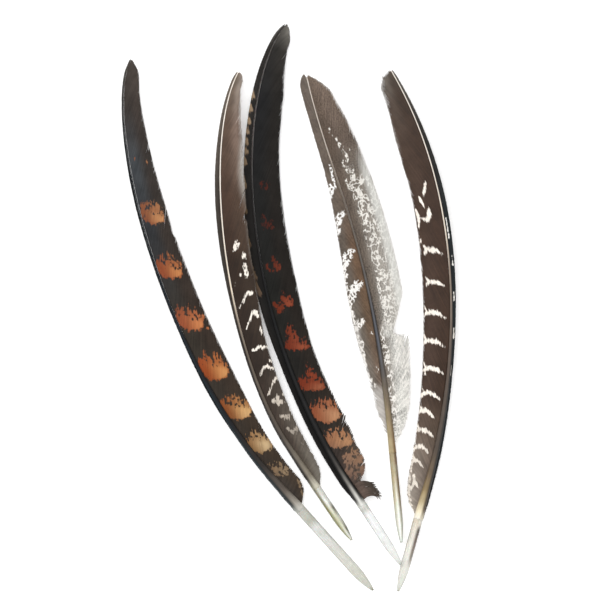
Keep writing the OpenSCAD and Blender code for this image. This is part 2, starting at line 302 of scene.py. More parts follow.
def make_sheet(quill, label, node, rows, attributes, material, thickness, flipped=False):
    """A thin piece made of barbs; rows are the foot side, the ridge and the head side of each."""
    points = np.stack(rows, axis=2)
    barbs, columns = points.shape[:2]
    i, j, k = np.meshgrid(np.arange(barbs), np.arange(columns - 1), [0, 1], indexing="ij")
    corner = (i * columns + j) * 3 + k
    quads = np.stack([corner, corner + 1, corner + 4, corner + 3], -1).reshape(-1, 4)
    if flipped:
        quads = quads[:, ::-1]
    name = f"{quill.name}_{label}_barbs"
    thing = make_object(name, points.reshape(-1, 3), quads, attributes, material, closed=False)
    solid = thing.modifiers.new("thickness", "SOLIDIFY")
    solid.thickness = thickness * MM
    solid.offset = 0
    finish_piece(thing, quill, node)


def sheet_attributes(s, d, roots, pitch, share, across, marks, pale):
    """What the web materials read at each point: its place, its place on the barb, and the marks."""
    layers = {
        "web": (s[..., None], d[..., None], roots[:, None, None] + ROWS * pitch),
        "barb": (share[None, :, None], across[..., None], ROWS == 0),
        "marks": (marks[..., None], pale[..., None], 0.0),
    }
    shape = (*s.shape, len(ROWS))
    return {name: np.stack([np.broadcast_to(value, shape) for value in values], -1).reshape(-1, 3)
            for name, values in layers.items()}


# --- Marks on the webs: each is a function from places on a web to how strong the mark is there ---

def soft_step(x):
    t = np.clip(x, 0, 1)
    return t * t * (3 - 2 * t)


def patch(s, d, along, out, full=1.0):
    """A leaning rounded patch centred at (s, d), whole on the foot side and worn on the head side."""
    def cover(web):
        offset = web["s"] - s + LEAN * (web["d"] - d)
        across = (web["d"] - d) / out
        reach = along * (1 + 0.3 * web["jitter"] * (offset > 0))
        sum_of_powers = np.abs(offset / reach) ** PATCH_POWER + np.abs(across) ** PATCH_POWER
        inside = (1 - sum_of_powers ** (1 / PATCH_POWER)) * min(along, out)
        wear = soft_step((0.7 * offset / along + 0.35 * across + 0.25) / 0.8)
        return full * (1 - 0.42 * wear) * soft_step(inside / PATCH_EDGE + 0.5)
    return cover


def stroke(points, full=1.0, tooth=0.4):
    """A brush stroke through points that are (s, d, half its width there)."""
    def cover(web):
        s, d = web["s"] + tooth * web["jitter"], web["d"]
        inside = np.full(s.shape, -10.0)
        for (s0, d0, half0), (s1, d1, half1) in zip(points, points[1:]):
            run_s, run_d = s1 - s0, d1 - d0
            t = np.clip(((s - s0) * run_s + (d - d0) * run_d) / (run_s**2 + run_d**2), 0, 1)
            away = np.hypot(s - s0 - t * run_s, d - d0 - t * run_d)
            inside = np.maximum(inside, half0 + t * (half1 - half0) - away)
        return full * soft_step(inside / MARK_EDGE + 0.5)
    return cover


def spot(s, d, half, full=1.0):
    return stroke([(s - half / 2, d, half), (s + half / 2, d, half)], full)


def crossbar(s, d0, d1, half, full=1.0):
    """A bar across the web: a thin tail that droops on the inside, and a fork at the outer edge."""
    span = d1 - d0
    bow = stroke([(s - 2.3, d0 - 0.3, 0.05), (s - 1.2, d0 + 0.16 * span, 0.5 * half),
                  (s, d0 + 0.42 * span, 0.95 * half), (s + 0.4, d0 + 0.72 * span, 1.1 * half),
                  (s - 0.1, d1 - 0.5, 0.8 * half), (s - 1.0, d1 + 0.3, 0.4)], full)
    fork = stroke([(s + 0.5, d1 - 0.7, 0.4), (s + 1.6, d1, 0.45), (s + 2.6, d1 + 0.5, 0.3)], 0.72 * full)
    return [bow, fork]


def zone(s0, s1, d0, d1, full, soft=14.0, side=2.0):
    """A stretch of the web with soft ends and sides, for marbling and for pale edges painted as if light
    shone through the thin barbs.
    """
    def cover(web):
        ends = soft_step((web["s"] - s0) / soft) * soft_step((s1 - web["s"]) / soft)
        sides = soft_step((web["d"] - d0) / side + 0.5) * soft_step((d1 - web["d"]) / side + 0.5)
        return full * ends * sides
    return cover


def each(kind, places):
    """A mark of one kind at each of the places."""
    return [kind(*place) for place in places]


def coverage(covers, web):
    total = np.zeros(web["s"].shape)
    for cover in covers:
        total = np.maximum(total, cover(web))
    return total


# --- Growing webs ---

def smooth_noise(rng, x, pitch):
    """Random values between -1 and 1 that change smoothly over distances of pitch."""
    knots = np.arange(x.min() - pitch, x.max() + 2 * pitch, pitch)
    return np.interp(x, knots, rng.uniform(-1, 1, len(knots)))


def grow_paths(outline, roots, angles, curl, start):
    """Each barb's path as (s, d) at every march step, and its length up to the outline."""
    u = np.arange(0, LONGEST_BARB, MARCH)
    turned = curl * (1 - np.exp(-u / CURL_LENGTH))
    heading = np.radians(angles[:, None] - turned[None])
    s = roots[:, None] + np.cumsum(np.cos(heading), axis=1) * MARCH
    d = start[:, None] + np.cumsum(np.sin(heading), axis=1) * MARCH
    beyond = d - outline.width(s)
    last = np.clip(np.argmax(beyond > 0, axis=1), 1, None)
    row = np.arange(len(roots))
    before, after = beyond[row, last - 1], beyond[row, last]
    part = np.clip(before / np.where(before == after, 1, before - after), 0, 1)
    return s, d, (last - 1 + part) * MARCH


def along_path(track, u):
    """Values of a marched track at distances u along each barb."""
    place = np.clip(u / MARCH, 0, track.shape[1] - 1.001)
    low = place.astype(int)
    row = np.arange(len(track))[:, None]
    share = place - low
    return track[row, low] * (1 - share) + track[row, low + 1] * share


def grow_barbs(quill, outline, roots, share, plan, rng):
    """(s, d) of the points at shares of every barb, each barb's length, and how frayed it is."""
    places = [outline.start, outline.start + FOOT_RUN, quill.length - HEAD_RUN,
              quill.length - END_RUN, quill.length][:len(plan["angles"])]
    angles = np.interp(roots, places, plan["angles"]) + 1.2 * smooth_noise(rng, roots, 6.0)
    start = ROOT_DEPTH * quill.radius(roots)
    track_s, track_d, length = grow_paths(outline, roots, angles, plan["curl"], start)
    fray = coverage(plan.get("frays", ()), {"s": roots + 0.85 * length, "d": 0 * roots})
    ragged = plan.get("ragged", 0.12) * (1 + 5 * fray)
    length = np.maximum(length + ragged * rng.normal(0, 1, len(roots)), SHORTEST_BARB)
    u = length[:, None] * share
    return along_path(track_s, u), along_path(track_d, u), length, fray


def part_barbs(roots, share, partings):
    """How far barbs are pushed along the quill by the partings beside them."""
    push = np.zeros((len(roots), len(share)))
    for root, start, gap in partings:
        near = np.exp(-np.abs(roots - root) / 3.0) * np.sign(roots - root)
        push += gap / 2 * near[:, None] * soft_step((share - start) / (1 - start))[None]
    return push


def web_surface(quill, outline, side, s, d):
    centre, _, left = quill.at(s)
    points = centre + side * d[..., None] * left
    points[..., 2] += outline.droop(s, d)
    return points


def openings(share, fray, rng):
    """How far each barb stands apart from its neighbours: 0 where it is zipped to them."""
    zipped = ZIPPED - 0.3 * fray + 0.03 * rng.normal(0, 1, len(fray))
    zipped = np.clip(zipped, 0.2, 0.985)[:, None]
    return 0.8 * soft_step((share - zipped) / (1 - zipped))


def barb_sides(ridge, torn, opened, half_limit):
    """The two sides of each barb: shared with its neighbours where it is zipped to them."""
    gap = (ridge[1:] - ridge[:-1]) / 2
    size = norm(gap, axis=2, keepdims=True)
    gap = gap * np.minimum(1, half_limit[..., None] / np.maximum(size, 1e-6))
    gap[torn] = gap[np.maximum(np.flatnonzero(torn) - 1, 0)]
    free = (1 - opened)[..., None]
    head_side = ridge.copy()
    foot_side = ridge.copy()
    head_side[:-1] += gap * free[:-1]
    head_side[-1] += gap[-1] * free[-1]
    foot_side[1:] -= gap * free[:-1]
    foot_side[0] -= gap[0] * free[0]
    return foot_side, head_side


def make_web(quill, label, outline, roots, side, plan, material):
    """A sheet of barbs that fills a web's outline and rides on its quill."""
    rng = np.random.default_rng(quill.seed + plan["columns"])
    share = 1 - (1 - np.linspace(0, 1, plan["columns"] + 1)) ** CROWDING
    s, d, length, fray = grow_barbs(quill, outline, roots, share, plan, rng)
    apart = np.diff(web_surface(quill, outline, side, s, d), axis=0)
    s = s + part_barbs(roots, share, plan.get("partings", ()))
    ridge = web_surface(quill, outline, side, s, d)
    wave = 0.10 * smooth_noise(rng, roots, 9.0) + 0.03 * smooth_noise(rng, roots, 1.5)
    ridge[..., 2] += wave[:, None] * share
    torn = np.abs(np.diff(length)) > TEAR
    opened = openings(share, fray, rng)
    foot_side, head_side = barb_sides(ridge, torn, opened, WIDEST * norm(apart, axis=2))
    ridge[..., 2] += RIDGE * (1 - 0.6 * share)
    jitter = rng.uniform(-1, 1, len(roots)) + 0.6 * smooth_noise(rng, roots, 1.3)
    web = {"s": s, "d": d, "jitter": jitter[:, None]}
    across = np.clip(d / np.maximum(outline.width(s), NARROWEST), 0, 1)
    marks, pale = coverage(plan.get("marks", ()), web), coverage(plan.get("pale", ()), web)
    attributes = sheet_attributes(s, d, roots, BARB_STEP, share, across, marks, pale)
    rows = (foot_side, ridge, head_side)
    make_sheet(quill, label, f"{label}_web", rows, attributes, material, SHEET_THICK, side < 0)


def make_webs(quill, side, plan, labels, cuts=()):
    """The web on one side of a quill, or two webs that a cut parts; returns their material."""
    outline = Outline(quill, [f"{quill.name}_{label}_web" for label in labels], plan)
    material = web_material(f"{quill.name}_{labels[-1]}_skin", quill.length, plan)
    ends = [outline.start, *cuts, quill.length - LAST_ROOT]
    for label, first, last in zip(labels, ends, ends[1:]):
        roots = np.arange(first, last, BARB_STEP)
        make_web(quill, label, outline, roots, side, plan, material)
    return material


def make_tuft(quill, side, tuft, material):
    """Loose barbs below a web, each a thin tapered strip of its own."""
    rng = np.random.default_rng(tuft["seed"])
    count, columns = tuft["count"], tuft["columns"]
    roots = np.sort(rng.uniform(*tuft["roots"], count))
    share = np.linspace(0, 1, columns + 1)
    length = rng.uniform(*tuft["lengths"], count)
    angle = rng.normal(tuft["angle"], tuft["spread"], count)
    curl = rng.normal(tuft["curl"], 12, count)
    heading = np.radians(angle[:, None] - curl[:, None] * share)
    step = length[:, None] / columns
    s = roots[:, None] + np.cumsum(np.cos(heading), axis=1) * step
    d = 0.7 * quill.radius(roots)[:, None] + np.cumsum(np.sin(heading), axis=1) * step
    centre, _, left = quill.at(s)
    ridge = centre + side * d[..., None] * left
    lift = rng.uniform(*tuft["lift"], count)
    ridge[..., 2] = np.maximum(ridge[..., 2] + lift[:, None] * share**2, tuft["lowest"])
    run = unit(np.gradient(ridge, axis=1))
    half = unit(np.cross(UP, run)) * (tuft["half"] * (1 - 0.85 * share))[None, :, None]
    rows = (ridge - half, ridge + 0.5 * RIDGE * UP, ridge + half)
    across = np.broadcast_to(share, s.shape)
    attributes = sheet_attributes(s, np.abs(d), roots, 0.1, share, across, 0 * s, 0 * s)
    make_sheet(quill, "tuft", "loose_tuft", rows, attributes, material, STRAND_THICK)


# --- Shafts and barrels ---

def make_shaft(quill, grooved, material):
    """The solid-looking upper shaft: a hollow tube that is square-shouldered and thins to the head."""
    s = np.append(np.arange(quill.barrel_length, quill.length, 1.0), quill.length)
    wander = smooth_noise(np.random.default_rng(7), s, 12.0)
    outer = quill.radius(s) * (1 + 0.015 * wander)
    inner = quill.bore(s) + 0.01
    cap_s, cap_r = quill.length + 0.25, 0.16

    def shape(at, angle):
        square = 0.06 * soft_step((at - quill.barrel_length) / 20)
        body = 1 - square * np.cos(4 * angle)
        if grooved:
            depth = 0.34 * soft_step((at - quill.barrel_length - 12) / 15)
            body = body - depth * np.exp(-((angle - math.pi / 2) / 0.35) ** 2)
        return body

    outside = shell_points(quill, np.append(s, cap_s), np.append(outer, cap_r), SHAFT_SIDES, shape)
    inside = shell_points(quill, s[::-1], inner[::-1], SHAFT_SIDES)
    faces = ring_grid(2 * len(s) + 1, SHAFT_SIDES)
    make_shell(quill, "rachis", "shaft", (outside, inside), faces, material)


def around_axis(quill, node):
    """(s, r) of a node's corners, about the straight axis of the barrel."""
    corners = node_points(f"{quill.name}_{node}") - quill.points[0]
    return corners @ quill.forward[0], norm(np.cross(corners, quill.forward[0]), axis=1)


def barrel_profile(r, length, wall, hole, taper):
    """(s, r) round the wall of the barrel: outside to the shaft, then back along the bore."""
    x = np.linspace(0, 1, 16)
    outside = np.stack([taper * x, r - (r - hole) * (1 - x) ** 2], -1)
    bore_r = r - wall
    inside = np.stack([wall + (taper - wall) * x, bore_r - (bore_r - hole) * (1 - x) ** 2], -1)
    run = np.arange(taper + 0.5, length - 0.2, 0.5)
    ripple = 0.012 * np.sin(run * 2.1) + 0.008 * np.sin(run * 5.3) - 0.02
    body = np.stack([run, r + ripple], -1)
    bore = np.stack([run, np.full(len(run), bore_r)], -1)
    return np.vstack([outside, body, [[length, r], [length, bore_r]], bore[::-1], inside[::-1]])


def make_barrel(quill, material):
    s, away = around_axis(quill, "barrel")
    taper = s[away > away.max() - SAME].min()
    profile = barrel_profile(away.max(), quill.barrel_length, quill.wall, quill.hole, taper)
    rings = shell_points(quill, *profile.T, BARREL_SIDES)
    faces = ring_grid(len(profile), BARREL_SIDES)
    make_shell(quill, "horn_barrel", "barrel", [rings], faces, material)


def make_plug(quill, material):
    """The dry navel that closes the foot: a dimpled disc."""
    r = quill.hole * np.array([0.0, 0.35, 0.7, 0.92, 1.0, 1.0, 0.6, 0.0])
    s = quill.wall * np.array([0.45, 0.4, 0.22, 0.05, 0.15, 0.9, 1.0, 0.95])
    rings = shell_points(quill, s, r, PLUG_SIDES)
    faces = ring_grid(len(s), PLUG_SIDES)[:-PLUG_SIDES]
    make_shell(quill, "foot_seal", "foot_plug", [rings], faces, material)


def make_cups(quill, material):
    """The row of thin dried cups inside the barrel, each one wrinkled."""
    s, away = around_axis(quill, "dried_cups")
    pitch = np.ptp(s) / (CUPS - 0.4)
    rng = np.random.default_rng(quill.seed)
    rise = np.array([0.0, 0.06, 0.2, 0.3, 0.42, 0.6])
    radii = (away.max() - 0.02) * np.array([0.0, 0.35, 0.75, 0.95, 1.0, 0.97])
    r_cup = np.concatenate([radii, 0.93 * radii[::-1]])
    faces = ring_grid(len(r_cup), BARREL_SIDES)[:-BARREL_SIDES]
    cups = []
    for i in range(CUPS):
        s_out = s.min() + pitch * (i + rise)
        phase = rng.uniform(0, 6)

        def wrinkle(at, angle, phase=phase):
            return 1 - 0.03 * np.abs(np.sin(4 * angle + phase)) - 0.02 * np.sin(9 * angle + at)

        s_cup = np.concatenate([s_out, s_out[::-1] + 0.1])
        cups.append(shell_points(quill, s_cup, r_cup, BARREL_SIDES, wrinkle))
    faces = np.vstack([faces + i * len(r_cup) * BARREL_SIDES for i in range(CUPS)])
    make_shell(quill, "inner_cups", "dried_cups", cups, faces, material)


# --- Materials ---

def colour(text):
    """A colour given as red, green and blue in hexadecimal, in the linear values that shaders use."""
    values = [int(text[k:k + 2], 16) / 255 for k in (0, 2, 4)]
    linear = [v / 12.92 if v <= 0.04045 else ((v + 0.055) / 1.055) ** 2.4 for v in values]
    return (*linear, 1.0)


class Graph:
    """A material's nodes, added and joined one at a time; ramps are stated along a length."""

    def __init__(self, name, length=1.0):
        self.length = length
        self.material = bpy.data.materials.new(name)
        self.material.use_nodes = True
        self.tree = self.material.node_tree
        self.shader = self.tree.nodes["Principled BSDF"]

    def add(self, kind, inputs, **settings):
        node = self.tree.nodes.new(kind)
        for key, value in settings.items():
            setattr(node, key, value)
        for key, value in inputs.items():
            self.feed(node.inputs[key], value)
        return node

    def feed(self, socket, value):
        if isinstance(value, bpy.types.NodeSocket):
            self.tree.links.new(value, socket)
        else:
            socket.default_value = value

    def surface(self, **values):
        for key, value in values.items():
            self.feed(self.shader.inputs[key.replace("_", " ")], value)

    def attribute(self, name):
        node = self.add("ShaderNodeAttribute", {}, attribute_name=name)
        return self.add("ShaderNodeSeparateXYZ", {0: node.outputs["Vector"]}).outputs

    def object_place(self):
        return self.add("ShaderNodeTexCoord", {}).outputs["Object"]

    def math(self, operation, a, b=0.0):
        return self.add("ShaderNodeMath", {0: a, 1: b}, operation=operation).outputs[0]

    def plus(self, a, b):
        return self.math("ADD", a, b)

    def times(self, a, b):
        return self.math("MULTIPLY", a, b)

    def centred(self, noise):
        return self.math("SUBTRACT", noise, 0.5)

    def between(self, value, low, high, out_low=0.0, out_high=1.0):
        inputs = {"Value": value, "From Min": low, "From Max": high, "To Min": out_low, "To Max": out_high}
        return self.add("ShaderNodeMapRange", inputs, interpolation_type="SMOOTHSTEP").outputs["Result"]

    def sway(self, noise, low, high):
        """From low to high as a noise goes through the values that it usually has."""
        return self.between(noise, 0.3, 0.7, low, high)

    def mix(self, share, a, b):
        return self.add("ShaderNodeMix", {0: share, 6: a, 7: b}, data_type="RGBA").outputs[2]

    def scaled(self, tint, factor):
        return self.add("ShaderNodeVectorMath", {0: tint, "Scale": factor}, operation="SCALE").outputs[0]

    def vector(self, x, y, z=0.0):
        return self.add("ShaderNodeCombineXYZ", {0: x, 1: y, 2: z}).outputs[0]

    def noise(self, vector, scale, detail=3.0, roughness=0.55):
        inputs = {"Vector": vector, "Scale": scale, "Detail": detail, "Roughness": roughness}
        return self.add("ShaderNodeTexNoise", inputs, noise_dimensions="3D").outputs["Fac"]

    def ramp(self, value, stops):
        """A colour ramp from text such as "45 3A342F  70 342C25": places and colours in turn."""
        words = stops.split()
        node = self.add("ShaderNodeValToRGB", {0: value})
        elements = node.color_ramp.elements
        while len(elements) < len(words) / 2:
            elements.new(0.5)
        for element, place, tint in zip(elements, words[::2], words[1::2]):
            element.position = min(1.0, float(place) / self.length)
            element.color = colour(tint)
        return node.outputs[0]

    def bump(self, height, distance):
        inputs = {"Height": height, "Distance": distance, "Strength": 0.5}
        self.feed(self.shader.inputs["Normal"], self.add("ShaderNodeBump", inputs).outputs[0])


def break_up(g, plan, s, d, root):
    """Noise that wears holes, teeth or fine lace into the marks of a web."""
    holes = g.noise(g.vector(g.times(s, 0.8), d, 9.0), plan.get("grain", 1.1), 2.0, 0.5)
    if "lace" in plan:
        line = g.math("ABSOLUTE", g.centred(holes))
        holes = g.between(line, 0.0, plan["lace"], 0.85, 0.25)
    teeth = g.noise(g.vector(root, g.times(d, 0.35), 2.0), 1.7, 2.0, 0.5)
    comb = plan.get("comb", 0.35)
    mixed = g.plus(g.times(holes, 1 - comb), g.times(teeth, comb))
    return g.times(g.centred(mixed), plan.get("breakup", 1.7))


def ground_colour(g, plan, s, d, place, across, streak):
    """The web's own colour, streaked barb by barb, clouded and mottled."""
    outward = g.between(across, *plan.get("turn", (0.25, 0.75)))
    ground = g.mix(outward, g.ramp(place, plan["inner"]), g.ramp(place, plan["outer"]))
    cloud = g.noise(g.vector(s, d, 5.0), 0.16, 2.0)
    shade = g.plus(g.sway(streak, 0.78, 1.2), g.sway(cloud, -0.12, 0.12))
    mottle = plan.get("mottle", 0.04)
    fleck = g.noise(g.vector(s, d, 7.0), plan.get("fleck", 1.2), 3.0)
    return g.scaled(ground, g.plus(shade, g.between(fleck, 0.35, 0.65, -mottle, mottle)))


def marked_colour(g, plan, s, d, root, place, across, streak, density, ground):
    """The marks over the ground colour, their edges broken up; full marks are calmer inside."""
    calm = g.between(density, 0.8, 1.0, 1.0, 0.5)
    swing = g.times(break_up(g, plan, s, d, root), calm)
    marked = g.between(g.plus(density, swing), 0.42, 0.6)
    marked = g.times(marked, g.between(density, 0.02, 0.2))
    foot_side = g.times(g.between(across, 0.15, 0.8), g.between(density, 0.6, 1.0, 0.35, 1.0))
    inner = plan.get("mark_inner", "0 222222")
    mark = g.mix(foot_side, g.ramp(place, inner), g.ramp(place, plan.get("mark_outer", inner)))
    return g.mix(marked, ground, g.scaled(mark, g.sway(streak, 0.82, 1.12)))


def web_material(name, length, plan):
    """Barbs with streaks of their own, marks worn barb by barb, pale thin edges painted as if light shone
    through them, and painted shade in the valleys between barbs.
    """
    g = Graph(name, length)
    s, d, root = g.attribute("web")
    share, across, ridge = g.attribute("barb")
    density, pale, _ = g.attribute("marks")
    place = g.math("DIVIDE", s, length)
    streak = g.noise(g.vector(root, g.times(d, 0.10)), 1.1, 4.0, 0.6)
    body = ground_colour(g, plan, s, d, place, across, streak)
    body = marked_colour(g, plan, s, d, root, place, across, streak, density, body)
    # Painted light: where the pale marks lie, the thin barbs turn pale as if the white floor's light shone
    # through them.
    painted_see_through = g.plus(pale, g.times(g.centred(streak), 0.45))
    thin = g.times(g.between(painted_see_through, 0.12, 1.0), g.between(pale, 0.0, 0.15))
    body = g.mix(thin, body, colour(plan.get("pale_tint", "C9C4BD")))
    # Painted shade: the valleys between the barbs are darkened, with a faint painted highlight on their
    # ridges.
    body = g.scaled(body, g.between(ridge, 0.0, 1.0, plan.get("painted_valley_shade", 0.8), 1.06))
    body = g.mix(g.between(share, 0.93, 1.0, 0.0, 0.35), body, colour(plan["tip"]))
    g.surface(Base_Color=body, Sheen_Weight=0.015, Specular_IOR_Level=plan.get("gloss", 0.16))
    g.surface(Roughness=g.sway(streak, 0.5, 0.68))
    hooks = g.noise(g.vector(g.times(root, 9.0), g.times(d, 3.0)), 1.5, 2.0)
    g.bump(hooks, 0.04 * MM)
    return g.material


def sided_tone(g, top, left, right):
    """The colour along a shaft or barrel, with colours of their own on its left and right sides; some are
    stains, and on the shafts of dark_long and brown_barred they are partly painted reflection and shadow.
    """
    s, leftward, upward = g.attribute("shaft")
    place = g.math("DIVIDE", s, g.length)
    tone = g.ramp(place, top)
    for stops, sign in ((left, 1.0), (right, -1.0)):
        if stops:
            share = g.between(g.times(leftward, sign), 0.0, 0.7)
            tone = g.mix(share, tone, g.ramp(place, stops))
    return tone, s, leftward, upward


def shaft_material(quill, top, left="", right="", gloss=0.3):
    """Horn of the shaft, with a fine grain along it."""
    g = Graph(f"{quill.name}_shaft_horn", quill.length)
    tone, s, leftward, upward = sided_tone(g, top, left, right)
    grain = g.noise(g.vector(g.times(s, 0.12), g.times(leftward, 2.2), upward), 2.2, 4.0, 0.6)
    patches = g.noise(g.vector(s, leftward, 3.0), 0.25, 3.0)
    shade = g.plus(g.sway(grain, 0.86, 1.1), g.sway(patches, -0.08, 0.08))
    g.surface(Base_Color=g.scaled(tone, shade), Specular_IOR_Level=gloss)
    g.surface(Roughness=g.sway(grain, 0.3, 0.48))
    g.bump(grain, 0.03 * MM)
    return g.material


def barrel_material(quill, top, left="", right=""):
    """Clear horn with cross ridges, long scratches and faint clouds; painted shade darkens its left and
    right edges.
    """
    g = Graph(f"{quill.name}_horn", quill.length)
    tone, s, leftward, upward = sided_tone(g, top, left, right)
    ridges = g.noise(g.vector(g.times(s, 1.6), g.times(leftward, 0.3), 0.0), 1.2, 2.0, 0.5)
    scratch = g.noise(g.vector(g.times(s, 0.12), g.times(leftward, 3.0), upward), 2.0, 3.0, 0.6)
    cloud = g.noise(g.vector(g.times(s, 0.3), leftward, 8.0), 0.6, 2.0)
    tone = g.mix(g.between(cloud, 0.5, 0.75, 0.0, 0.4), tone, colour("B9BAA6"))
    shade = g.plus(g.sway(ridges, 0.95, 1.03), g.between(scratch, 0.35, 0.65, -0.06, 0.03))
    # Painted shade: the left and right edges are darkened, as the edges of a clear tube look dark from
    # above.
    painted_rim_shade = g.between(g.math("ABSOLUTE", leftward), 0.72, 1.0, 1.0, 0.55)
    g.surface(Base_Color=g.scaled(tone, g.times(shade, painted_rim_shade)), IOR=1.5, Specular_IOR_Level=0.5)
    g.surface(Transmission_Weight=0.2, Subsurface_Weight=0.1, Subsurface_Scale=0.001)
    g.surface(Roughness=g.between(scratch, 0.35, 0.65, 0.16, 0.3))
    g.bump(g.plus(ridges, scratch), 0.04 * MM)
    return g.material


def pulp_material():
    g = Graph("dried_pulp_skin")
    flakes = g.noise(g.object_place(), 1400.0, 4.0, 0.6)
    tone = g.ramp(flakes, "0.3 A89878  0.5 CDC2A8  0.7 E4DCC8")
    g.surface(Base_Color=tone, Roughness=g.sway(flakes, 0.6, 0.85))
    g.bump(flakes, 0.05 * MM)
    return g.material


def pith_material():
    g = Graph("pith_foam")
    cells = g.add("ShaderNodeTexVoronoi", {"Vector": g.object_place(), "Scale": 5000.0}).outputs["Distance"]
    tone = g.ramp(cells, "0 D9CDB4  0.5 F1EADB")
    g.surface(Base_Color=tone, Roughness=g.between(cells, 0.0, 0.6, 0.7, 0.95))
    g.bump(cells, 0.05 * MM)
    return g.material


# --- The five quills: how their webs grow, and their colours ---
#
# Angles are those between barb and shaft: the barbs stand out at the foot of a web and lie along the
# shaft at its head. A head is (how far before the shaft's end its rounding starts, how far past it
# the web reaches, the power of its curve). A parting is (s, share of the barbs where it starts, gap),
# a trim is what is added to the width at each s, and ramps are texts that Graph.ramp reads.

WIDE = dict(angles=(86, 34, 27, 20), columns=30, curl=9)
NARROW = dict(angles=(45, 24, 20, 16), columns=12, curl=5, ragged=0.08)


def dark_long():
    head = (9, 0.8, 0.9)
    patches = [
        (61, 4.5, 3.6, 3.2, 0.8), (74.7, 4.7, 4.8, 4.1, 1), (91.5, 5.4, 5.3, 5, 1),
        (111, 5.5, 5.9, 5.1, 1), (132.7, 5.2, 5.3, 4.9, 0.98), (155.5, 5, 5, 4.8, 0.95),
        (178.5, 4.9, 4.6, 4.5, 0.9)]
    spots = [(199, 7, 0.45, 0.8), (202, 2.5, 0.35, 0.7), (126.5, 10.3, 0.5, 0.8), (132, 10.5, 0.5, 0.8)]
    wide = dict(
        WIDE, head=head, ragged=0.06, trim=[(166, 0), (168, -0.7), (174, 0)],
        partings=[(154, 0.45, 0.5), (120, 0.7, 0.3), (186, 0.6, 0.35)],
        marks=each(patch, patches) + each(spot, spots)
              + [stroke([(43, 3, 0.4), (50, 6.5, 0.8), (57, 8.5, 0.3)], 0.5)],
        # Partly painted reflection: near the shaft the inner ramp turns blue-grey from about 170, a bluish
        # sheen over the web's own dark brown.
        inner="45 3A342F  70 342C25  130 322D27  170 2D2E30  200 3C3F42  222 35302D  240 423B36",
        outer="45 3C332B  70 362C23  130 342B25  200 342F2C  222 3A332F  240 423B36",
        mark_inner="60 6E5A46  74 856542  91 7E4A28  111 8A4220  133 8A4A30  155 86462C  178 7E4C34",
        mark_outer="60 8C785E  74 B89E78  91 C49864  111 BE824E  133 BE784C  155 BE804E  178 C08C5E",
        breakup=4.2, grain=0.85, tip="3A342F", gloss=0.07)
    narrow = dict(
        NARROW, head=head,
        # Partly painted reflection: the narrow web's blue-black is a bluish sheen laid over its own black.
        inner="40 1C1E20  80 101316  215 16181B  240 3A3732",
        outer="40 1E2426  80 141B1F  215 181A1C  240 45403A",
        tip="1E2426", gloss=0.06)
    shaft = dict(
        top="43 BDBBB3  47 857F76  53 554D46  66 2C2825  90 17181B  200 1E2023  240 3E3934",
        # Partly painted reflection: the shaft's left side is darker and blue-black, a bluish sheen laid
        # over its own dark horn.
        left="43 A5A69E  47 1E2426  120 16242A  215 1C2024  240 3A3732", gloss=0.12)
    barrel = dict(top="0 94927F  2 C6C6BA  12 CFCFC4  34 D9D9D6  37 B2B2A6  40 BDBDB2  43 B9B8B0")
    return wide, narrow, shaft, barrel


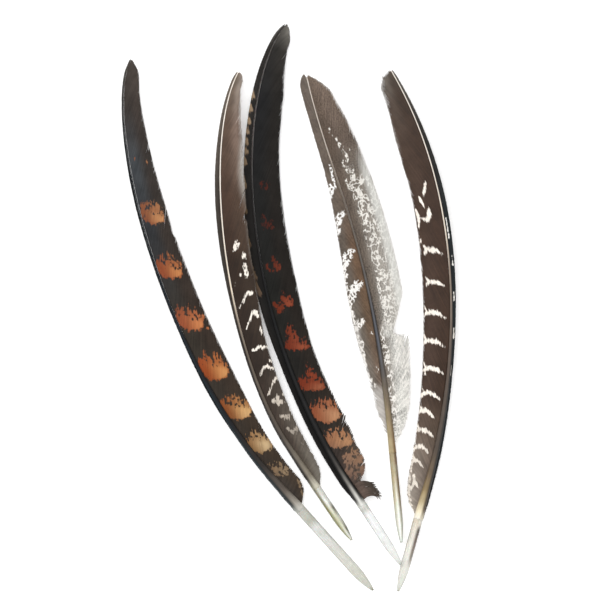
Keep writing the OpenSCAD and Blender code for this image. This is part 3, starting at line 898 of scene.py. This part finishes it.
def brown_slim():
    lines = [
        ([(51.5, 3.5, 0.6), (48.5, 5, 1), (50, 7, 0.8)], 0.62), ([(57, 3.5, 0.7), (55.5, 6, 1.1)], 0.75),
        ([(64, 3.2, 0.8), (62.5, 6, 1.1)], 0.8), ([(62, 4.5, 0.5), (65, 5.5, 0.7)], 0.8),
        ([(67, 2, 0.2), (69.5, 4.5, 0.4), (71, 6, 0.7), (72.5, 8.3, 0.6)], 0.85),
        ([(76, 2.5, 0.2), (78.5, 4.5, 0.4), (78.5, 6, 0.7), (77, 8, 0.5)], 0.9),
        ([(86.3, 2, 0.3), (87, 5, 0.7), (86.3, 8.3, 0.6)], 0.9),
        ([(95, 2, 0.15), (98, 4, 0.35), (101, 6.2, 0.5), (101.5, 7.6, 0.9), (99, 8.2, 0.5)], 0.9),
        ([(92, 8, 0.5), (95, 8, 0.4)], 0.8),
        ([(104.6, 1.5, 0.15), (107.5, 4, 0.35), (110, 6, 0.6), (109.6, 7.8, 0.8)], 0.9),
        ([(113.6, 1.8, 0.2), (115.8, 2.6, 0.25)], 0.8), ([(127.6, 3.6, 0.5), (130.4, 5, 1.3)], 0.72),
        ([(117, 7, 0.9), (121.5, 7, 0.9)], 0.7)]
    spots = [
        (43, 5, 0.5, 0.5), (54.5, 8, 0.4, 0.7), (58, 8, 0.4, 0.7), (61.5, 7.5, 0.4, 0.7),
        (65, 8, 0.4, 0.7), (80.5, 8, 0.5, 0.8), (117.5, 4.7, 0.45, 1), (125, 7.2, 0.8, 0.8)]
    wide = dict(
        WIDE, partings=[(128, 0.5, 0.7), (168, 0.6, 0.5)], frays=[zone(150, 205, -1, 1, 0.5)],
        trim=[(92, 0), (104, 0.7), (117, 0.7), (130, 0), (139, 0), (141.5, -1.2), (145, 0)],
        marks=each(stroke, lines) + each(spot, spots),
        pale=[zone(104, 176, 9.4, 30, 0.5, 26, 5), zone(136, 222, 7.6, 30, 0.85, 26, 6)],
        inner="25 5A5348  45 423830  80 2A2019  120 2B1F17  150 423026  180 5A483C  198 6E6156",
        outer="25 6A655C  45 5A5249  80 30261F  120 33271E  150 503E32  180 77655A  198 857A70",
        mark_inner="45 8E857A  60 B4A99C  85 EDE5DA",
        breakup=3.0, grain=1.5, comb=0.5, tip="7A7168", pale_tint="BDB9B2")
    narrow = dict(
        NARROW, tip="45403A",
        inner="25 3A362F  60 28231F  150 322C27  198 5A5047",
        outer="25 45413A  60 2A2521  150 3A342E  198 6A6057")
    shaft = dict(
        top="25 BDB9A8  31 756D60  50 453D35  85 5A5045  100 85786A  112 D8C9B4  160 F2E9DE  198 EADFD2",
        left="25 8E8B78  30 2E2A26  90 26211D  112 8A7E70  198 A89C90")
    barrel = dict(
        top="0 DADAD0  3 E6E6DA  9 D2D2B4  14 DCDBC6  19 F0F0EC  25 C9C7B8",
        left="0 B5B59A  5 A3A27C  15 8E8C5E  25 77705C",
        right="0 CFCFC4  5 5E5C46  10 C9C9BC  15 6E6C5A  18 D2D2CA")
    return wide, narrow, shaft, barrel


def dark_broad():
    head = (7.5, 1.6, 0.75)
    patches = [
        (41.5, 6.5, 4.6, 5.2, 0.58), (46.5, 7.2, 4, 4, 0.72), (56, 6, 4.2, 5, 0.92),
        (68.5, 6.3, 5.2, 5.4, 1), (81.2, 5.8, 3.2, 4.8, 0.95), (85.5, 7, 4, 1.8, 0.75),
        (98.4, 5.8, 2.8, 4.9, 0.9), (103, 5.2, 4.2, 2.2, 0.78), (115.2, 3.2, 2.6, 2, 0.85),
        (117, 7.2, 3.4, 2.4, 0.88), (131.3, 3.2, 1.6, 1.9, 0.66), (132.5, 6.2, 2.8, 1.6, 0.75),
        (149.5, 5, 3.4, 2.4, 0.6), (165.5, 5, 2.4, 2, 0.52)]
    wide = dict(
        WIDE, head=head, ragged=0.08, angles=(*WIDE["angles"], 3),
        partings=[(40, 0.6, 0.8), (52, 0.6, 0.6), (203, 0.6, 0.3)],
        trim=[(47, 0), (50, -0.5), (59, 0.2), (61.6, -0.5), (63.2, 1.4), (64.4, 0.1)],
        marks=each(patch, patches),
        inner="36 544740  52 352E2A  64 25221F  120 1D1D1B  200 1E1E1F  222 2B2927  231 57544F",
        outer="36 4D443D  52 40372F  64 2A241F  120 211D1A  200 211F1D  222 2F2C29  231 66635D",
        mark_inner="38 6A5448  47 7A6050  57 8A6046  68 884E34  82 6E2E1C  100 652A1B  117 602818  "
                   "150 42201A",
        mark_outer="38 735A4B  47 957052  57 AA7E5A  68 A6795A  82 7E3E29  100 934E36  117 8A4531  "
                   "150 4E261D",
        breakup=3.6, grain=0.95, tip="242120", gloss=0.05)
    mottles = [
        (124, 3, 2.5), (131, 3.4, 2.5), (144, 3.6, 2.6), (157, 3.5, 2.2), (167, 3.2, 2.2),
        (175, 2.7, 1.2), (179, 2.4, 0.7), (183, 2.5, 1), (187, 2.3, 0.7), (191, 2.1, 1), (196, 1.9, 1.1),
        (201, 1.8, 0.7)]
    narrow = dict(
        NARROW, head=head, angles=(*NARROW["angles"], 2),
        marks=[stroke([(s - h, d - 0.2, 0.9), (s + h, d + 0.4, 0.6)], 0.8) for s, d, h in mottles],
        inner="38 161515  80 101010  231 2A2826",
        outer="38 1A1919  80 161514  220 2B2826  231 57544F",
        mark_inner="120 57473A  150 66543F  190 8A7660", tip="1A1817", gloss=0.05)
    dark_edge = "28 C9C9C2  31 3A3836  36 151515  231 1A1A1A"
    shaft = dict(
        top="28 E2E2DC  33 B5B3AD  39 75726D  46 45423F  56 242322  120 17181A  165 35302F  190 665A56  "
            "231 55504C",
        left=dark_edge, right=dark_edge, gloss=0.08)
    barrel = dict(top="0 C4C4BC  3 E6E6E2  24 F0F0F0  26.5 BDBDB4  28 DCDCD7")
    return wide, narrow, shaft, barrel


def marbled():
    beads = [
        (143.5, 3.2, 0.5), (146, 3.4, 0.4), (146.5, 6.4, 0.7), (149, 7.4, 0.6), (150.4, 5, 0.5),
        (153, 4.2, 0.5), (154.5, 6.2, 0.45), (157.5, 9, 0.4), (156, 6.5, 0.5), (158.2, 6, 0.45),
        (160.6, 5.2, 0.5), (163, 4.5, 0.4), (165.2, 3.7, 0.35), (167.6, 3.1, 0.35), (144, 9.2, 0.9),
        (141, 7, 0.8)]
    wide = dict(
        WIDE, head=(11, 1.7, 1.2), ragged=0.14, frays=[zone(40, 84, -1, 1, 0.15, 6)],
        trim=[(81.8, 0.6), (82.5, -4.6), (84, -6.3), (90, -3.2), (95, -1.2), (99, 0)],
        marks=each(spot, beads)
              + [zone(36, 90, 1.4, 4, 0.46, 8, 2), zone(74, 158, 4, 8.2, 0.42, 20, 2.5),
                 zone(36, 150, 6, 30, 0.31, 8, 3)],
        pale=[zone(66, 166, 9.6, 30, 0.7, 22, 5), zone(30, 84, 7, 30, 0.18, 6, 8)],
        inner="40 857C72  80 665D54  120 5A5047  165 53463C  190 65574C",
        outer="40 C4C2BC  82 BCBAB4  88 A19D96  120 8F8981  146 70685F  162 594D44  190 6C5D52",
        mark_inner="40 DAD6D0  170 E2DED6", mark_outer="40 C8C5BF  110 C4C1BB  170 DAD6CF",
        lace=0.10, breakup=1.7, grain=0.5, tip="9A948D", pale_tint="CBCBC6",
        painted_valley_shade=0.86, turn=(0.1, 0.55), mottle=0.34, fleck=2.0)
    netted = [
        [(86.5, 8, 0.4), (89, 6.2, 1), (90.5, 4.4, 0.6)], [(91, 8, 0.4), (97.5, 7.9, 0.6)],
        [(99, 7.6, 0.8), (102.5, 6.2, 1.8), (105, 3.6, 1.4), (105.5, 1.8, 0.5)],
        [(109, 7.8, 0.7), (112.5, 7, 1.1)], [(114, 7.4, 1.5), (117, 5, 1.8), (119, 2, 0.6)],
        [(127, 6.2, 0.6), (131.5, 5, 1.5), (133.5, 3.2, 1), (134.5, 1.4, 0.4)],
        [(142, 5, 0.7), (145.5, 3.4, 1.2), (146, 1.4, 0.5)], [(145.5, 1.8, 0.5), (154, 0.9, 0.3)]]
    fringe = [
        (60, 5.2, 0.5), (68, 6.2, 0.7), (78, 7.6, 0.8), (90, 8.5, 0.8), (104, 8.4, 0.7), (114, 7.9, 0.5)]
    spots = [
        (63.5, 3.8, 0.4, 0.8), (66, 5.4, 0.7, 0.7), (72, 6.5, 0.7, 0.75), (77, 6.8, 0.7, 0.75),
        (81, 6.8, 0.8, 0.8), (84, 2, 0.3, 0.8), (70, 2, 0.3, 0.8)]
    narrow = dict(
        NARROW, head=(4.5, 1.6, 0.5), ragged=0.15, frays=[zone(34, 80, -1, 1, 0.9, 6)],
        columns=22, angles=(55, 33, 24, 18), curl=8,
        marks=[stroke(line, 0.64) for line in netted] + each(spot, spots)
              + [stroke(fringe, 0.5)],
        pale=[zone(36, 68, 0.5, 30, 0.6, 8), zone(52, 96, 6.2, 30, 0.55, 10, 3)],
        inner="44 8A8178  62 6E5E52  90 65513F  118 654E3C  135 62554A  190 6A6058",
        outer="44 A39B93  62 756C63  90 645C53  118 5E544B  135 61564C  190 665B53",
        mark_inner="60 EAE4DB", mark_outer="60 EFEAE3",
        lace=0.14, breakup=2.2, grain=0.75, tip="857C74", pale_tint="CFCBC6", mottle=0.1, painted_valley_shade=0.66)
    shaft = dict(
        top="36 A39270  46 8B7A5C  58 6E604E  68 565250  80 565962  115 5A5652  140 6A6056  154 A89A8A  "
            "161 EADFD2  190 F0E6DA",
        left="36 A39470  50 85785C  68 3E3935  90 222326  115 4A423B  150 665C52  190 8A7E72",
        right="36 6E5230  50 6A5C46  68 47413B  90 2A2A2C  115 564E46  150 6A6056  190 8A7E72")
    barrel = dict(
        top="0 F2F4EC  4 FFFFFA  12 FCFEF4  20 E6E4D2  28 BFB190  36 A39270",
        left="0 D9DCD0  10 D2D2C2  20 BCAC84  36 A39470",
        right="0 C9CCC0  10 A9A898  20 77603F  36 5E4226")
    return wide, narrow, shaft, barrel


def brown_barred():
    bars = [
        (52, 3.2, 8.4, 0.8, 0.85), (58, 2.4, 8.9, 0.8, 0.92), (65, 2, 9.2, 0.8, 0.96),
        (73, 3.2, 9.4, 0.85), (80.6, 1.8, 9.6, 0.75), (90.8, 1.6, 9.7, 0.85), (102.2, 2.4, 10.4, 0.85),
        (114, 2.4, 10.2, 0.9), (126.6, 2.2, 9.4, 0.75), (139.8, 2.6, 9.2, 0.95)]
    lines = [
        ([(150.4, 10.2, 0.4), (154, 9.7, 0.6), (157.5, 10.4, 0.4)], 0.9),
        ([(153.2, 8.4, 0.4), (152.4, 6.6, 0.8), (154.4, 5.4, 1), (157, 5, 0.3)], 1.0),
        ([(157.8, 6.8, 0.3), (160.4, 7.6, 0.6), (162.2, 7.9, 0.3)], 0.95),
        ([(163, 6, 0.5), (166, 4.8, 0.6), (168.5, 3.8, 0.3)], 0.95),
        ([(40.5, 6, 0.5), (44, 5.2, 0.8), (46.5, 6.4, 0.6)], 0.85),
        ([(42, 3.6, 0.4), (44.6, 5, 0.6)], 0.8),
        ([(33, 2.6, 0.5), (36, 5, 0.8), (40, 6.6, 0.8), (46, 7.8, 0.7), (54, 8.6, 0.5), (62, 9.2, 0.4)],
         0.56)]
    spots = [(79, 9.5, 0.5, 0.9), (88.5, 9.2, 0.5, 0.9), (144, 10.5, 0.5, 0.8)]
    wide = dict(
        WIDE, head=(8, 0.5, 0.38), trim=[(198, 0), (207, 0.9), (216, 0.9)],
        partings=[(60, 0.6, 0.4), (140, 0.7, 0.4)], frays=[zone(198, 240, -1, 1, 0.5, 8)],
        marks=[part for bar in bars for part in crossbar(*bar)] + each(stroke, lines)
              + each(spot, spots),
        pale=[zone(172, 240, 9.4, 30, 0.6, 20, 4), zone(198, 240, 5.5, 30, 0.3, 8, 4)],
        inner="32 857B71  50 6C5F55  66 514338  80 3A2A20  150 3B2B22  185 3C2D24  205 392D25  214 4A4038",
        outer="32 948B81  50 7C7167  66 5C4D42  80 42322A  150 43332A  185 44352C  205 4C4038  214 6E675F",
        mark_inner="50 D9D0C4  80 F4EBE0", mark_outer="50 D9D0C4  80 F2E9DE",
        breakup=1.5, grain=1.3, comb=0.5, tip="7A6C60", pale_tint="A39D96")
    streaks = [(91, 0.7, 2), (106, 1, 2), (120.5, 1.1, 1.5), (135, 1.3, 2), (148, 0.9, 4)]
    narrow = dict(
        NARROW, head=(5, 1.6, 0.5),
        marks=[stroke([(s - h, d, 0.3), (s + h, d, 0.2)], 0.9, 0.2) for s, d, h in streaks],
        # Partly painted shadow: from about 60 the narrow web is a blue-black darker than its own colour, as
        # it looks in shade.
        inner="30 201E1C  60 15181A  150 14181A  190 221F1D  214 45403B",
        outer="30 1C1A19  60 171C1E  150 181D1F  190 2A2724  214 55504A",
        mark_inner="80 D4CCC0", tip="2A2C2C")
    # Partly painted shadow: the shaft's dark stretch from about 44 to 100 and its dark right side beside
    # the narrow web are its own colour darkened as they look in shade.
    shaft = dict(
        top="30 EFE9DC  33 D8CDB2  37 AE9E7C  42 83704E  48 62523F  60 463C34  100 554A42  132 85776A  "
            "150 DACDBC  214 F2E9DE",
        right="30 C9C1AA  34 4A3C2C  44 1C1A18  214 2E2B28")
    barrel = dict(
        top="0 C4C4B8  3 DEDED5  16 EAE6DE  24 E4DFD3  30 DACFBA",
        right="0 D0D0C4  10 E2E2D8  14 8A8478  20 6A5648  26 40342C  28 DAD6CA")
    return wide, narrow, shaft, barrel


def build_quill(name, seed, side, plans, cuts=(), grooved=False):
    """A quill and the material of its wide web, whose side is 1 for left and -1 for right."""
    quill = Quill(name, seed)
    wide, narrow, shaft, barrel = plans
    make_barrel(quill, barrel_material(quill, **barrel))
    make_shaft(quill, grooved, shaft_material(quill, **shaft))
    make_plug(quill, PULP)
    make_cups(quill, PULP)
    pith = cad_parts[f"{name}_pith"].data
    pith.materials.clear()
    pith.materials.append(PITH)
    skin = make_webs(quill, side, wide, ("lower", "wide") if cuts else ("wide",), cuts)
    make_webs(quill, -side, narrow, ("narrow",))
    return quill, skin


PULP = pulp_material()
PITH = pith_material()
TUFT = dict(seed=5, count=90, columns=14, roots=(30, 36.5), lengths=(7.4, 8.2), angle=74, spread=1.5,
            curl=-80, lift=(-0.4, 0.4), lowest=0.25, half=0.36)

build_quill("dark_long", 11, -1, dark_long())
build_quill("brown_slim", 23, -1, brown_slim())
broad_quill, broad_skin = build_quill("dark_broad", 37, -1, dark_broad())
make_tuft(broad_quill, -1, TUFT, broad_skin)
build_quill("marbled", 51, -1, marbled(), cuts=(62.0,), grooved=True)
build_quill("brown_barred", 67, 1, brown_barred())


# --- Floor, light and camera ---

def make_floor():
    g = Graph("pale_floor")
    haze = g.noise(g.object_place(), 3.0, 2.0)
    g.surface(Base_Color=g.ramp(haze, "0.3 F7F7F7  0.7 FBFBFB"), Roughness=0.9, Specular_IOR_Level=0.1)
    g.surface(Emission_Color=(1, 1, 1, 1), Emission_Strength=0.22)
    half, gap = 3.0, 0.0003
    mesh = bpy.data.meshes.new("floor")
    corners = [(-half, -half, 0), (half, -half, 0), (half, half, 0), (-half, half, 0)]
    mesh.from_pydata(corners, [], [(0, 1, 2, 3)])
    mesh.materials.append(g.material)
    floor = add_object("floor", mesh)
    floor.location.z = cad_low.z - gap


def make_light(name, place, target, size, watts):
    data = bpy.data.lights.new(name, "AREA")
    data.shape = "DISK"
    data.size = size
    data.energy = watts
    lamp = add_object(name, data)
    lamp.location = place
    lamp.rotation_euler = (target - lamp.location).to_track_quat("-Z", "Y").to_euler()


def make_surroundings():
    world = bpy.data.worlds.new("studio")
    world.use_nodes = True
    background = world.node_tree.nodes["Background"].inputs
    background["Color"].default_value = (1, 1, 1, 1)
    background["Strength"].default_value = 1.1
    bpy.context.scene.world = world
    bpy.context.scene.view_settings.view_transform = "Standard"


def make_camera():
    """Straight above the set, far enough to see it as flat as it looks in a catalogue picture."""
    height, off_x, off_y = 4.0, 0.00456, 0.00346
    data = bpy.data.cameras.new("camera")
    data.lens = 600
    data.sensor_width = 36
    camera = add_object("camera", data)
    camera.location = (off_x, off_y, height)
    bpy.context.scene.camera = camera


make_floor()
make_surroundings()
middle = (cad_low + cad_high) / 2
make_light("key", (-0.45, 0.55, 1.1), middle, 0.9, 6)
make_light("fill", (0.7, -0.4, 0.9), middle, 1.0, 1.5)
make_camera()
